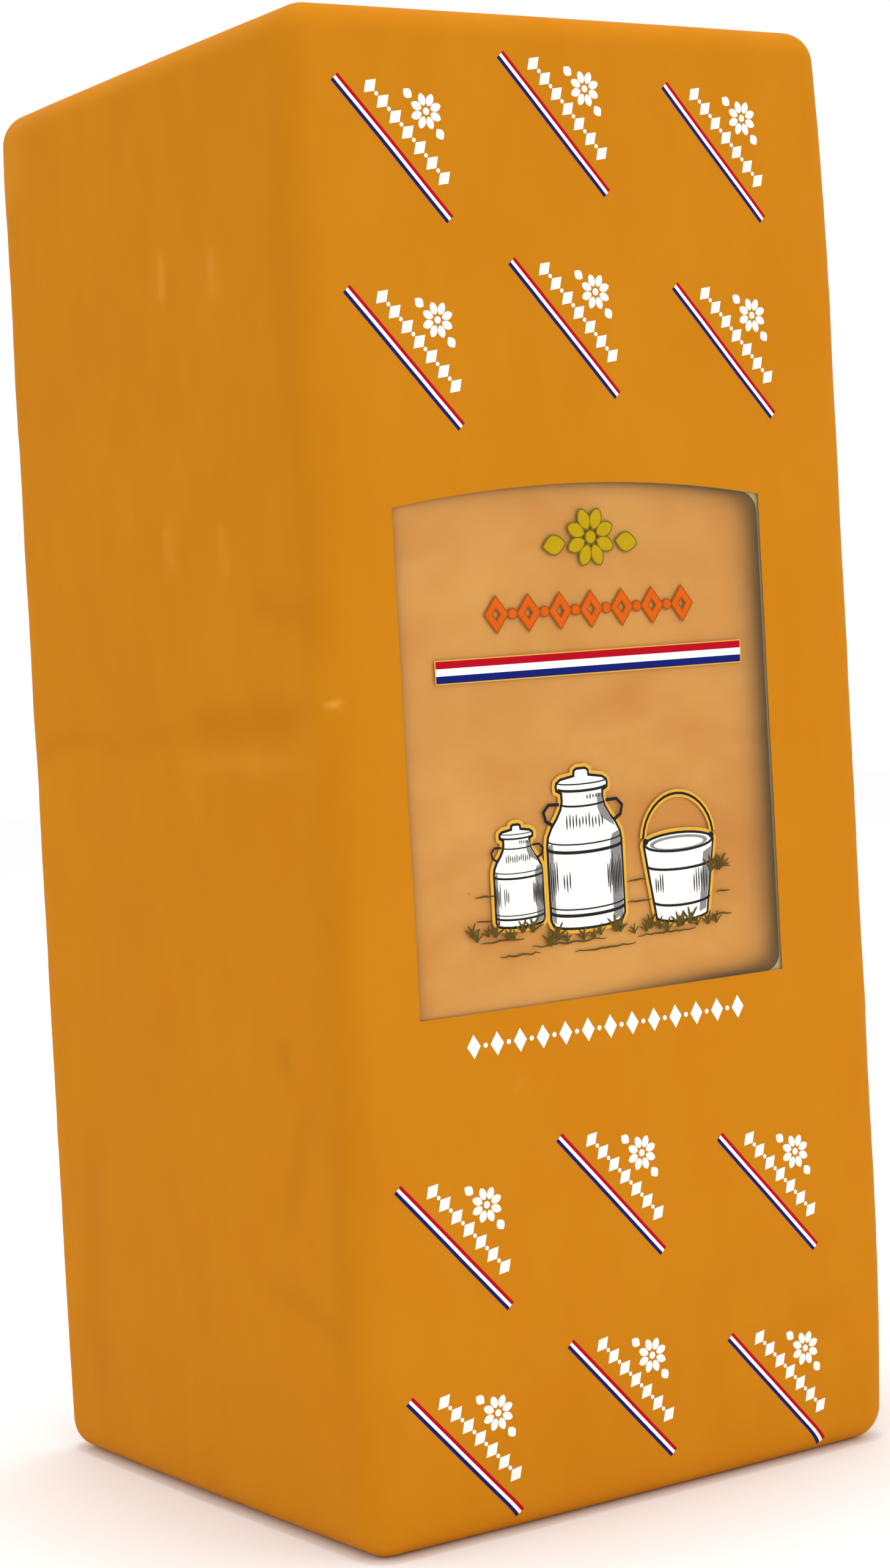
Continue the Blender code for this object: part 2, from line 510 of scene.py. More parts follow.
@dataclass
class BlockForm:
    """The wrapped block's outer form: the solids' form, with the film's folds on it."""

    width: float
    depth: float
    height: float
    creases: tuple[Crease, ...]
    edge_radius: float = 5.5 * MM
    end_zone: float = 45.0 * MM
    end_taper_right: float = 1.8 * MM
    end_taper_others: float = 0.1 * MM
    side_crown: float = 0.5 * MM
    top_slope: float = 0.028
    back_lean: float = 2.7 * MM
    window_left: float = -41.9 * MM
    window_right: float = 33.7 * MM
    window_bottom: float = 84.6 * MM
    window_top: float = 165.6 * MM
    window_rise: float = 2.9 * MM
    ripples: tuple[tuple[float, float, int], ...] = ((0.05, 21.0, 5), (0.02, 8.0, 9))
    foot_fade: float = 4.0 * MM
    top_fade: float = 2.0 * MM
    round_cells: int = 5

    def arch(self, x: np.ndarray) -> np.ndarray:
        """Finds how far the arch of the window's top edge rises over its two ends.

        Args:
            x: Places across the front.

        Returns:
            The rise at each place.
        """
        middle = (self.window_left + self.window_right) / 2
        reach = (x - middle) / ((self.window_right - self.window_left) / 2)
        return self.window_rise * np.maximum(0.0, 1.0 - reach**2)

    def arch_share(self, z: np.ndarray) -> np.ndarray:
        """Finds how much of the arch the grid's rows follow.

        Args:
            z: Their heights.

        Returns:
            For each from 0 at the window's foot, over 1 at its top, to 0 near the block's top.
        """
        below = (z - self.window_bottom) / (self.window_top - self.window_bottom)
        top = self.height - self.edge_radius
        above = (top - z) / (top - self.window_top)
        return np.clip(np.where(z <= self.window_top, below, above), 0.0, 1.0)

    def drawn_in(self, points: np.ndarray) -> np.ndarray:
        """Moves points of the straight block in, as the solids do.

        Args:
            points: Places on the straight block.

        Returns:
            The places on the crowned block that draws in towards its ends.
        """
        x, y, z = points.T
        from_end = np.minimum(z, self.height - z)
        near_end = np.maximum(0.0, 1.0 - from_end / self.end_zone) ** 2
        across = x / (self.width / 2)
        deep = y / (self.depth / 2)
        taper = np.where(x > 0.0, self.end_taper_right, self.end_taper_others)
        x = x - across * (taper * near_end + self.side_crown * deep**2)
        y = y - deep * (self.end_taper_others * near_end + self.side_crown * across**2)
        y = y - self.back_lean * np.maximum(0.0, deep) * z / self.height
        return np.stack([x, y, z], 1)

    def slope_up(self, obj: bpy.types.Object) -> None:
        """Raises an object that is made on the level block to the top's slope, its left a little down.

        Args:
            obj: The mesh object, at the origin.
        """
        places = np.empty(3 * len(obj.data.vertices), np.float32)
        obj.data.vertices.foreach_get("co", places)
        points = places.reshape(-1, 3)
        points[:, 2] *= 1.0 + self.top_slope * points[:, 0] / self.height
        obj.data.vertices.foreach_set("co", points.ravel())
        obj.data.update()

    def lift(self, points: np.ndarray) -> np.ndarray:
        """Finds how far the film's ripples and folds lift it, with none at its foot and its top.

        Args:
            points: Places on the even surface.

        Returns:
            The lift at each place, in metres.
        """
        total = np.zeros(len(points))
        for height, length, seed in self.ripples:
            total = total + height * MM * waves(points, length * MM, seed)
        for crease in self.creases:
            total = total + crease.lift(points)
        off_floor = np.clip(points[:, 2] / self.foot_fade, 0.0, 1.0)
        off_top = np.clip((self.height - points[:, 2]) / self.top_fade, 0.0, 1.0)
        return total * off_floor * off_top

    def shade(self, points: np.ndarray) -> np.ndarray:
        """Finds the painted shade and painted highlights along the folds.

        Args:
            points: Places on the folded surface.

        Returns:
            For each place from -1, lit, over 0, even, to 1, dark.
        """
        total = np.zeros(len(points))
        for crease in self.creases:
            total = total + crease.painted_shading(points)
        return np.clip(total, -1.0, 1.0)

    def skin(self, points: np.ndarray, inset: float, folded: bool) -> np.ndarray:
        """Takes points of the sharp box to the real surface.

        Args:
            points: Places on the sharp box that is smaller than the block by the inset.
            inset: How far inside the block's outer face the surface lies.
            folded: Whether the film's folds show on it.

        Returns:
            Places on the rounded, folded and drawn-in surface.
        """
        radius = self.edge_radius - inset
        low = np.array([-self.width / 2, -self.depth / 2, 0.0]) + inset + radius
        high = np.array([self.width / 2, self.depth / 2, self.height]) - inset - radius
        core = np.clip(points, low, high)
        out = points - core
        out /= np.linalg.norm(out, axis=1)[:, None]
        surface = core + out * radius
        if folded:
            surface = surface + out * self.lift(surface)[:, None]
        return self.drawn_in(surface)

    def stations(self, low: float, high: float, radius: float, stretches: list[Stretch]) -> np.ndarray:
        """Grid stations along one axis, finer where the box is rounded.

        Args:
            low: The lowest station.
            high: The highest station.
            radius: The rounding's radius.
            stretches: For each flat stretch, its end and its spacing.

        Returns:
            The stations from low to high.
        """
        steps = radius * np.tan(np.pi / 4 * np.arange(1, self.round_cells + 1) / self.round_cells)
        inner = [low + radius]
        for end, spacing in stretches:
            count = max(1, round((end - inner[-1]) / spacing))
            inner += list(np.linspace(inner[-1], end, count + 1)[1:])
        return np.concatenate([low + radius - steps[::-1], inner, high - radius + steps])

    def grid(
        self, inset: float, spacing: float, across: list[Stretch], upright: list[Stretch]
    ) -> tuple[np.ndarray, np.ndarray, np.ndarray]:
        """A grid over the sharp box that lies inside the block by an inset.

        Args:
            inset: How far inside it lies.
            spacing: Its spacing along the depth, and past the stretches given.
            across: For each stretch along X, its end and its spacing.
            upright: The same for each stretch along Z.

        Returns:
            The points, the faces, and for each point whether it is on the front.
        """
        radius = self.edge_radius - inset
        half, deep, top = self.width / 2 - inset, self.depth / 2 - inset, self.height - inset
        return box_grid(
            (
                self.stations(-half, half, radius, [*across, (half - radius, spacing)]),
                self.stations(-deep, deep, radius, [(deep - radius, spacing)]),
                self.stations(inset, top, radius, [*upright, (top - radius, spacing)]),
            )
        )


def box_grid(lines: tuple[np.ndarray, np.ndarray, np.ndarray]) -> tuple[np.ndarray, np.ndarray, np.ndarray]:
    """A closed grid of quads over a box.

    Args:
        lines: The stations along X, Y and Z.

    Returns:
        The points, the faces, and for each point whether it is on the front.
    """
    shape = [len(line) for line in lines]
    places = np.indices(shape)
    outer = np.zeros(shape, bool)
    for axis in range(3):
        outer |= (places[axis] == 0) | (places[axis] == shape[axis] - 1)
    number = np.full(shape, -1)
    number[outer] = np.arange(outer.sum())
    keys = np.argwhere(outer)
    points = np.stack([lines[axis][keys[:, axis]] for axis in range(3)], 1)
    faces = []
    for axis in range(3):
        for side in (0, shape[axis] - 1):
            sheet = np.take(number, side, axis=axis)
            quads = np.stack([sheet[:-1, :-1], sheet[1:, :-1], sheet[1:, 1:], sheet[:-1, 1:]], -1)
            quads = quads.reshape(-1, 4)
            faces.append(quads[:, ::-1] if (side == 0) != (axis == 1) else quads)
    return points, np.concatenate(faces), keys[:, 1] == 0


# The three main pieces


@dataclass
class FilmWrap:
    """The printed film: a folded wrap on all six sides, open at the window."""

    form: BlockForm
    thickness: float = 0.08 * MM
    spacing: float = 1.8 * MM
    fine_spacing: float = 0.9 * MM
    fine_from: float = 124.0 * MM
    fine_to: float = 141.0 * MM
    finish: PrintedFilmFinish = PrintedFilmFinish()

    def surface(self, name: str, with_window: bool) -> bpy.types.Object:
        """Makes the film's outer face, with rows and columns of its grid on the window's edges.

        Args:
            name: The object's name.
            with_window: Whether the window is left open.

        Returns:
            The object, with the painted shade and highlights of its folds written on it.
        """
        form = self.form
        across = [(form.window_left, self.spacing), (form.window_right, self.spacing)]
        upright = [
            (form.window_bottom, self.spacing), (self.fine_from, self.spacing),
            (self.fine_to, self.fine_spacing), (form.window_top, self.spacing),
        ]
        points, faces, on_front = form.grid(0.0, self.spacing, across, upright)
        if with_window:
            x, _, z = points[faces].mean(1).T
            within = (x > form.window_left) & (x < form.window_right)
            within &= (z > form.window_bottom) & (z < form.window_top)
            faces = faces[~(on_front[faces].all(1) & within)]
        rise = form.arch(points[:, 0]) * form.arch_share(points[:, 2])
        points[:, 2] += np.where(on_front, rise, 0.0)
        outer = form.skin(points, 0.0, folded=True)
        used = np.zeros(len(outer), bool)
        used[faces] = True
        renumber = np.cumsum(used) - 1
        obj = mesh_object(name, outer[used], renumber[faces])
        # Painted shade and highlights of the folds, for the material
        write_attribute(obj, "shade", form.shade(outer[used]))
        return obj

    def build(self) -> bpy.types.Object:
        """Makes the film with its thickness, in place of its solid.

        Returns:
            The film.
        """
        film = self.surface("film_wrap", with_window=True)
        make_film(film, self.finish.material(), self.thickness)
        self.form.slope_up(film)
        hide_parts("printed_film")
        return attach(film, "root")


@dataclass
class CheeseBlock:
    """The cheese: a block through the whole pack, with a rolled edge behind the window."""

    form: BlockForm
    inset: float = 0.4 * MM
    spacing: float = 4.0 * MM
    fine_spacing: float = 0.7 * MM
    margin: float = 3.0 * MM
    side_liner: float = 0.12 * MM
    liner_corner: float = 3.0 * MM
    roll_depth: float = 0.1 * MM
    roll_width: float = 1.6 * MM
    finish: CutCheeseFinish = CutCheeseFinish()

    def panel_depth(self, x: np.ndarray, z: np.ndarray) -> np.ndarray:
        """How far inside the cheese face's outline, round at its two right corners, each point lies.

        Args:
            x: Places across the front.
            z: Heights.

        Returns:
            The distance to the outline in metres, negative outside it.
        """
        form = self.form
        radius = self.liner_corner
        to_right = form.window_right - self.side_liner - x
        to_end = np.minimum(z - form.window_bottom, form.window_top + form.arch(x) - z)
        from_corner = radius - np.hypot(np.maximum(radius - to_right, 0), np.maximum(radius - to_end, 0))
        in_corner = (to_right < radius) & (to_end < radius)
        inside = np.where(in_corner, from_corner, np.minimum(to_right, to_end))
        return np.where(x < form.window_right - 4 * radius, np.maximum(inside, to_end), inside)

    def build(self) -> bpy.types.Object:
        """Makes the cheese in place of its solid, fine where the window shows it.

        Returns:
            The cheese.
        """
        form = self.form
        left, right = form.window_left - self.margin, form.window_right + self.margin
        bottom = form.window_bottom - self.margin
        top = form.window_top + form.window_rise + self.margin
        across = [(left, self.spacing), (right, self.fine_spacing)]
        upright = [(bottom, self.spacing), (top, self.fine_spacing)]
        points, faces, on_front = form.grid(self.inset, self.spacing, across, upright)
        x, z = points[:, 0], points[:, 2]
        near = on_front & (x > left) & (x < right) & (z > bottom) & (z < top)
        inside = self.panel_depth(x, z)
        surface = form.skin(points, self.inset, folded=False)
        edge = np.clip(1.0 - inside / self.roll_width, 0.0, 1.0)
        rolled = self.roll_depth * (1.0 - np.sqrt(1.0 - edge**2))
        surface[:, 1] += np.where(near, rolled, 0.0)
        cheese = mesh_object("cheese_block", surface, faces)
        # Painted shade inside the window's edge, strongest on the right and at its corners
        write_attribute(cheese, "pressed", np.where(near, self.pressed(x, z), 0.0))
        write_attribute(cheese, "inside", np.where(near, inside / MM, self.margin / MM))
        cheese.data.materials.append(self.finish.material())
        cheese.data.shade_smooth()
        form.slope_up(cheese)
        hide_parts("cheese")
        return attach(cheese, "root")

    def pressed(self, x: np.ndarray, z: np.ndarray) -> np.ndarray:
        """How much painted shadow of the window's edge falls on the cheese at each point of the front.

        Args:
            x: Places across.
            z: Heights.

        Returns:
            From 0, unshaded paste, to 1, full painted shade: strongest on the right and at its corners.
        """
        form = self.form
        to_left = np.maximum(x - form.window_left, 0.0) / MM
        to_right = np.maximum(form.window_right - self.side_liner - x, 0.0) / MM
        to_top = np.maximum(form.window_top + form.arch(x) - z, 0.0) / MM
        to_bottom = np.maximum(z - form.window_bottom, 0.0) / MM
        across = np.clip((x - form.window_left) / (form.window_right - form.window_left), 0.0, 1.0)
        corner = fade(to_right, 5.5, 2)
        right = fade(np.maximum(to_right - 0.35, 0.0), 3.45, 1.6)
        top_width = 1.0 + 0.6 * across + 1.5 * corner
        top = np.minimum(0.15 + 0.95 * across, 1.0) * fade(to_top, top_width, 1.2)
        low_width = 0.8 + 1.5 * across**2 + 1.1 * corner
        low = 0.15 + 0.85 * np.clip((across - 0.3) / 0.5, 0.0, 1.0) ** 1.3
        bottom = low * fade(to_bottom, low_width, 1.0 + 0.9 * across**2)
        left = 0.55 * fade(to_left, 0.9, 1)
        broad = 0.09 * fade(to_right, 10.0, 2) + 0.05 * fade(to_top, 10.0, 2)
        unshaded = (1 - right) * (1 - top) * (1 - bottom) * (1 - left) * (1 - broad)
        return np.clip(1.0 - unshaded, 0.0, 1.0)


@dataclass
class WindowPane:
    """The clear film over the window, flush with the printed film round it."""

    form: BlockForm
    gap: float = 0.05 * MM
    thickness: float = 0.08 * MM
    spacing: float = 1.8 * MM
    finish: ClearFilmFinish = ClearFilmFinish()

    def build(self) -> bpy.types.Object:
        """Makes the pane in place of its solid.

        Returns:
            The pane.
        """
        form = self.form
        left, right = form.window_left + self.gap, form.window_right - self.gap
        bottom, top = form.window_bottom + self.gap, form.window_top - self.gap
        columns = round((right - left) / self.spacing) + 1
        rows = round((top - bottom) / self.spacing) + 1
        x, up = np.meshgrid(np.linspace(left, right, columns), np.linspace(0.0, 1.0, rows))
        x, up = x.ravel(), up.ravel()
        z = bottom + (top + form.arch(x) - bottom) * up
        front = np.full(len(x), -form.depth / 2)
        outer = form.skin(np.stack([x, front, z], 1), 0.0, folded=True)
        number = np.arange(rows * columns).reshape(rows, columns)
        faces = np.stack([number[:-1, :-1], number[:-1, 1:], number[1:, 1:], number[1:, :-1]], -1)
        pane = mesh_object("window_pane", outer, faces.reshape(-1, 4))
        make_film(pane, self.finish.material(), self.thickness)
        form.slope_up(pane)
        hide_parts("window_film")
        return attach(pane, "root")


# Flat shapes for the print


def turned(outline: Outline, degrees: float) -> Outline:
    """Turns an outline about the origin, anticlockwise."""
    c, s = math.cos(math.radians(degrees)), math.sin(math.radians(degrees))
    return [(c * x - s * z, s * x + c * z) for x, z in outline]


def leaf(length: float, width: float, start: float, blunt: float) -> Outline:
    """A pointed oval along +X.

    Args:
        length: Its length.
        width: Its greatest width.
        start: Where on the X axis it begins.
        blunt: Below 1 its ends are rounder.

    Returns:
        The outline, anticlockwise.
    """
    count = 9
    shares = [i / count for i in range(count + 1)]
    side = [(start + length * t, -width / 2 * math.sin(math.pi * t) ** blunt) for t in shares]
    return side + [(x, -z) for x, z in reversed(side[1:-1])]


def disc(centre: Point, radius: float, count: int) -> Outline:
    """A circle's outline, anticlockwise."""
    turns = [2 * math.pi * i / count for i in range(count)]
    return [(centre[0] + radius * math.cos(a), centre[1] + radius * math.sin(a)) for a in turns]


def box(x0: float, z0: float, x1: float, z1: float) -> Outline:
    """A rectangle's outline, anticlockwise."""
    return [(x0, z0), (x1, z0), (x1, z1), (x0, z1)]


def grown(outline: Outline, by: float) -> Outline:
    """Moves an outline outwards, or inwards where by is negative.

    Args:
        outline: The points, anticlockwise.
        by: How far.

    Returns:
        The new outline, with its corners mitred up to a limit.
    """
    most, sharpest = 1.8, 0.2
    made = []
    count = len(outline)
    for i, (x, z) in enumerate(outline):
        before, after = outline[i - 1], outline[(i + 1) % count]
        first = Vector((z - before[1], before[0] - x)).normalized()
        second = Vector((after[1] - z, x - after[0])).normalized()
        way = (first + second).normalized()
        reach = by * min(most, 1.0 / max(sharpest, way.dot(first)))
        made.append((x + way.x * reach, z + way.y * reach))
    return made


class Sketch:
    """Flat shapes of one ink, in millimetres across and up the front."""

    WELD = 1e-4
    MOST_CUTS = 8

    def __init__(self, longest_edge: float = 2.0) -> None:
        """Starts an empty sketch whose triangles' edges are at most about that long."""
        self.longest_edge = longest_edge
        self.mesh = bmesh.new()

    def corner(self, x: float, z: float) -> bmesh.types.BMVert:
        """Adds a point of a shape."""
        return self.mesh.verts.new((x, 0.0, z))

    def shape(self, outline: Outline) -> "Sketch":
        """Adds a filled shape."""
        self.mesh.faces.new([self.corner(*point) for point in outline])
        return self

    def shapes(self, outlines: list[Outline]) -> "Sketch":
        """Adds several filled shapes.

        Args:
            outlines: Their outlines.

        Returns:
            The sketch.
        """
        for outline in outlines:
            self.shape(outline)
        return self

    def ring(self, outer: Outline, inner: Outline) -> "Sketch":
        """Adds the band between two outlines with as many points each.

        Args:
            outer: The outer outline.
            inner: The inner outline.

        Returns:
            The sketch.
        """
        outside = [self.corner(*point) for point in outer]
        inside = [self.corner(*point) for point in inner]
        for i in range(len(outer)):
            self.mesh.faces.new((outside[i - 1], outside[i], inside[i], inside[i - 1]))
        return self

    def stroke(self, path: Outline, width: float, taper: float = 0.0) -> "Sketch":
        """Adds a line of some width.

        Args:
            path: The line's points.
            width: Its width in the middle.
            taper: How much of that width is lost at its two ends, from 0 to 1.

        Returns:
            The sketch.
        """
        sides = []
        last = len(path) - 1
        for i, (x, z) in enumerate(path):
            before, after = path[max(i - 1, 0)], path[min(i + 1, last)]
            way = Vector((after[0] - before[0], after[1] - before[1])).normalized()
            half = width / 2 * (1.0 - taper * abs(2.0 * i / last - 1.0) ** 2)
            off_x, off_z = way.y * half, way.x * half
            sides.append((self.corner(x - off_x, z + off_z), self.corner(x + off_x, z - off_z)))
        for (a, b), (c, d) in zip(sides, sides[1:]):
            self.mesh.faces.new((a, b, d, c))
        return self

    def build(self, name: str, shift: Point = (0.0, 0.0)) -> bpy.types.Object:
        """Makes the sketch an object on the plane Y = 0, its faces towards -Y.

        Args:
            name: The object's name.
            shift: What is added to its places, in millimetres.

        Returns:
            The object.
        """
        mesh = self.mesh
        bmesh.ops.remove_doubles(mesh, verts=mesh.verts, dist=self.WELD)
        bmesh.ops.triangulate(mesh, faces=mesh.faces, ngon_method="EAR_CLIP")
        for _ in range(self.MOST_CUTS):
            long_edges = [edge for edge in mesh.edges if edge.calc_length() > self.longest_edge]
            if not long_edges:
                break
            bmesh.ops.subdivide_edges(mesh, edges=long_edges, cuts=1)
            bmesh.ops.triangulate(mesh, faces=mesh.faces)
        bmesh.ops.transform(mesh, matrix=Matrix.Translation((shift[0], 0.0, shift[1])), verts=mesh.verts)
        bmesh.ops.scale(mesh, vec=(MM, MM, MM), verts=mesh.verts)
        mesh.normal_update()
        wrong = [face for face in mesh.faces if face.normal.y > 0.0]
        bmesh.ops.reverse_faces(mesh, faces=wrong)
        data = bpy.data.meshes.new(name)
        mesh.to_mesh(data)
        mesh.free()
        return in_scene(name, data)


# Geometry Nodes trees


def new_tree(name: str, inputs: dict[str, str]) -> tuple[bpy.types.NodeTree, bpy.types.NodeOutputs]:
    """Starts a Geometry Nodes tree with named inputs, the geometry first and the ink last.

    Args:
        name: The tree's name.
        inputs: By its name, what each input between those two holds.

    Returns:
        The tree and the sockets of its inputs.
    """
    tree = bpy.data.node_groups.new(name, "GeometryNodeTree")
    tree.is_modifier = True
    for label, kind in {"Geometry": "Geometry", **inputs, "Ink": "Material"}.items():
        tree.interface.new_socket(label, in_out="INPUT", socket_type="NodeSocket" + kind)
    tree.interface.new_socket("Geometry", in_out="OUTPUT", socket_type="NodeSocketGeometry")
    return tree, add(tree, "NodeGroupInput").outputs


def close_tree(
    tree: bpy.types.NodeTree, geometry: bpy.types.Node, ink: bpy.types.NodeSocket
) -> bpy.types.NodeTree:
    """Ends a tree: its copies become real and take their ink.

    Args:
        tree: The tree.
        geometry: The node that gives its result.
        ink: The input that holds the ink.

    Returns:
        The same tree.
    """
    real = add(tree, "GeometryNodeRealizeInstances", {0: geometry})
    inked = add(tree, "GeometryNodeSetMaterial", {0: real, "Material": ink})
    add(tree, "NodeGroupOutput", {0: inked})
    return tree


def run_tree(obj: bpy.types.Object, tree: bpy.types.NodeTree, values: dict) -> bpy.types.Object:
    """Runs a tree on an object and keeps the result as its plain mesh.

    Args:
        obj: The object that gives the tree its geometry.
        tree: The tree.
        values: The value of each named input.

    Returns:
        The same object.
    """
    modifier = obj.modifiers.new(tree.name, "NODES")
    modifier.node_group = tree
    for item in tree.interface.items_tree:
        if item.in_out == "INPUT" and item.name in values:
            modifier[item.identifier] = values[item.name]
    return applied(obj)


def row_tree() -> bpy.types.NodeTree:
    """Builds the tree that repeats a link along X, with a dot between each two.

    Returns:
        The tree, with inputs for the number of links, their pitch and the dots' radius.
    """
    tree, given = new_tree("row of links", {"Links": "Int", "Pitch": "Float", "Dot Radius": "Float"})
    gaps = add(tree, MATH, {0: given["Links"], 1: 1.0}, operation="SUBTRACT")
    span = add(tree, MATH, {0: gaps, 1: given["Pitch"]}, operation="MULTIPLY")
    start = add(tree, MATH, {0: span, 1: -0.5}, operation="MULTIPLY")
    half = add(tree, MATH, {0: given["Pitch"], 1: 0.5}, operation="MULTIPLY")
    dot_start = add(tree, MATH, {0: start, 1: half}, operation="ADD")
    step = add(tree, VECTOR, {"X": given["Pitch"]})
    first = add(tree, VECTOR, {"X": start})
    first_dot = add(tree, VECTOR, {"X": dot_start})
    links = add(tree, LINE, {"Count": given["Links"], "Start Location": first, "Offset": step})
    dots = add(tree, LINE, {"Count": gaps, "Start Location": first_dot, "Offset": step})
    circle = add(
        tree, "GeometryNodeMeshCircle", {"Vertices": 12, "Radius": given["Dot Radius"]}, fill_type="NGON"
    )
    upright = add(tree, "GeometryNodeTransform", {"Geometry": circle, "Rotation": (math.pi / 2, 0.0, 0.0)})
    placed_links = add(tree, COPIES, {"Points": links, "Instance": given["Geometry"]})
    placed_dots = add(tree, COPIES, {"Points": dots, "Instance": upright})
    both = add(tree, "GeometryNodeJoinGeometry", {0: placed_links})
    tree.links.new(placed_dots.outputs[0], both.inputs[0])
    return close_tree(tree, both, given["Ink"])


def print_tree() -> bpy.types.NodeTree:
    """Builds the tree that prints a flat design at each place and lays it on the film.

    Returns:
        The tree, with inputs for the places, the design's turn, the film and the lift off it.
    """
    inputs = {"Places": "Object", "Turn": "Float", "Film": "Object", "Lift": "Float"}
    tree, given = new_tree("print on the film", inputs)
    places = add(tree, "GeometryNodeObjectInfo", {"Object": given["Places"]}).outputs["Geometry"]
    film = add(tree, "GeometryNodeObjectInfo", {"Object": given["Film"]}).outputs["Geometry"]
    turn = add(tree, ROTATION, {"Axis": (0.0, 1.0, 0.0), "Angle": given["Turn"]})
    prints = add(tree, COPIES, {"Points": places, "Instance": given["Geometry"], "Rotation": turn})
    real = add(tree, "GeometryNodeRealizeInstances", {0: prints})
    down = add(
        tree, "GeometryNodeRaycast",
        {"Target Geometry": film, "Ray Direction": (0.0, 1.0, 0.0), "Ray Length": 1.0},
    ).outputs
    off = add(tree, VECTOR_MATH, {0: down["Hit Normal"], "Scale": given["Lift"]}, operation="SCALE")
    lifted = add(tree, VECTOR_MATH, {0: down["Hit Position"], 1: off}, operation="ADD")
    laid = add(
        tree, "GeometryNodeSetPosition", {"Geometry": real, "Selection": down["Is Hit"], "Position": lifted}
    )
    return close_tree(tree, laid, given["Ink"])


def scatter_tree() -> bpy.types.NodeTree:
    """Builds the tree that scatters a tuft along X, each at its own size, place and lean.

    Returns:
        The tree, with inputs for the number of tufts, their stretch, their spread and the seed.
    """
    inputs = {"Count": "Int", "Length": "Float", "Spread": "Float", "Seed": "Int"}
    tree, given = new_tree("scattered tufts", inputs)
    seed = given["Seed"]
    step = add(tree, MATH, {0: given["Length"], 1: given["Count"]}, operation="DIVIDE")
    start = add(tree, MATH, {0: given["Length"], 1: -0.5}, operation="MULTIPLY")
    first, offset = (add(tree, VECTOR, {"X": x}) for x in (start, step))
    line = add(tree, LINE, {"Count": given["Count"], "Start Location": first, "Offset": offset})
    drift = add(
        tree, RANDOM, {0: (-1.0, 0.0, -1.0), 1: (1.0, 0.0, 1.0), "Seed": seed}, data_type="FLOAT_VECTOR"
    )
    moved = add(tree, VECTOR_MATH, {0: drift, "Scale": given["Spread"]}, operation="SCALE")
    spread = add(tree, "GeometryNodeSetPosition", {0: line, "Offset": moved})
    size, lean = (
        add(tree, RANDOM, {2: least, 3: most, "Seed": seed}, data_type="FLOAT")
        for least, most in ((0.55, 1.25), (-0.35, 0.35))
    )
    turn = add(tree, ROTATION, {"Axis": (0.0, 1.0, 0.0), "Angle": lean})
    tufts = add(
        tree, COPIES, {"Points": spread, "Instance": given["Geometry"], "Rotation": turn, "Scale": size}
    )
    return close_tree(tree, tufts, given["Ink"])


# The print on the film


def lozenge(width: float, height: float) -> Outline:
    """A lozenge's outline about the origin, anticlockwise."""
    return [(-width / 2, 0.0), (0.0, -height / 2), (width / 2, 0.0), (0.0, height / 2)]


@dataclass(frozen=True)
class Flower:
    """A meadow flower seen from above, with a leaf on either side, in millimetres."""

    radius: float
    petals: int
    petal_width: float
    leaf_length: float
    leaf_width: float
    droop: float = 8.0

    def shapes(self) -> list[Outline]:
        """Draws the petals, the middle and the leaves, none of them touching.

        Returns:
            Their outlines about the flower's middle.
        """
        eye, start, stem = 0.2 * self.radius, 0.3 * self.radius, 1.1 * self.radius
        petal = leaf(self.radius - start, self.petal_width, start, blunt=0.6)
        blade = leaf(self.leaf_length, self.leaf_width, stem, blunt=0.9)
        made = [turned(petal, 360.0 * (i + 0.5) / self.petals) for i in range(self.petals)]
        made.append(disc((0.0, 0.0), eye, 14))
        return made + [turned(blade, angle) for angle in (-self.droop, 180.0 + self.droop)]


@dataclass
class Press:
    """Prints flat designs on the wrapped block's front, one ink at a time."""

    form: BlockForm
    skin: bpy.types.Object
    ink_thickness: float = 0.05 * MM
    first_lift: float = 0.06 * MM
    layer_lift: float = 0.035 * MM
    in_front: float = 8.0 * MM
    tree: bpy.types.NodeTree = field(default_factory=print_tree)
    inks: dict[Ink, bpy.types.Material] = field(default_factory=dict)

    def ink(self, ink: Ink) -> bpy.types.Material:
        """Gives an ink's material, which it makes once.

        Args:
            ink: The ink.

        Returns:
            Its material.
        """
        if ink not in self.inks:
            self.inks[ink] = InkFinish(ink).material()
        return self.inks[ink]

    def lay(
        self,
        design: bpy.types.Object,
        ink: Ink,
        layer: int,
        places: tuple[Point, ...] = ((0.0, 0.0),),
        turn: float = 0.0,
    ) -> bpy.types.Object:
        """Prints a design in one ink.

        Args:
            design: The flat design, which becomes the printed piece.
            ink: Its ink.
            layer: How many inks lie under it.
            places: Where the design's origin goes, in millimetres on the front.
            turn: How far each is turned, in degrees clockwise.

        Returns:
            The printed piece.
        """
        half = self.form.width / 2
        y = -self.form.depth / 2 - self.in_front
        spots = mesh_object("places", np.array([(x * MM - half, y, z * MM) for x, z in places]), [])
        values = {
            "Places": spots,
            "Turn": math.radians(turn),
            "Film": self.skin,
            "Lift": self.first_lift + layer * self.layer_lift,
            "Ink": self.ink(ink),
        }
        run_tree(design, self.tree, values)
        bpy.data.objects.remove(spots)
        thicken(design, self.ink_thickness)
        self.form.slope_up(design)
        log.info("%s: %d faces", design.name, len(design.data.polygons))
        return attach(design, "root")


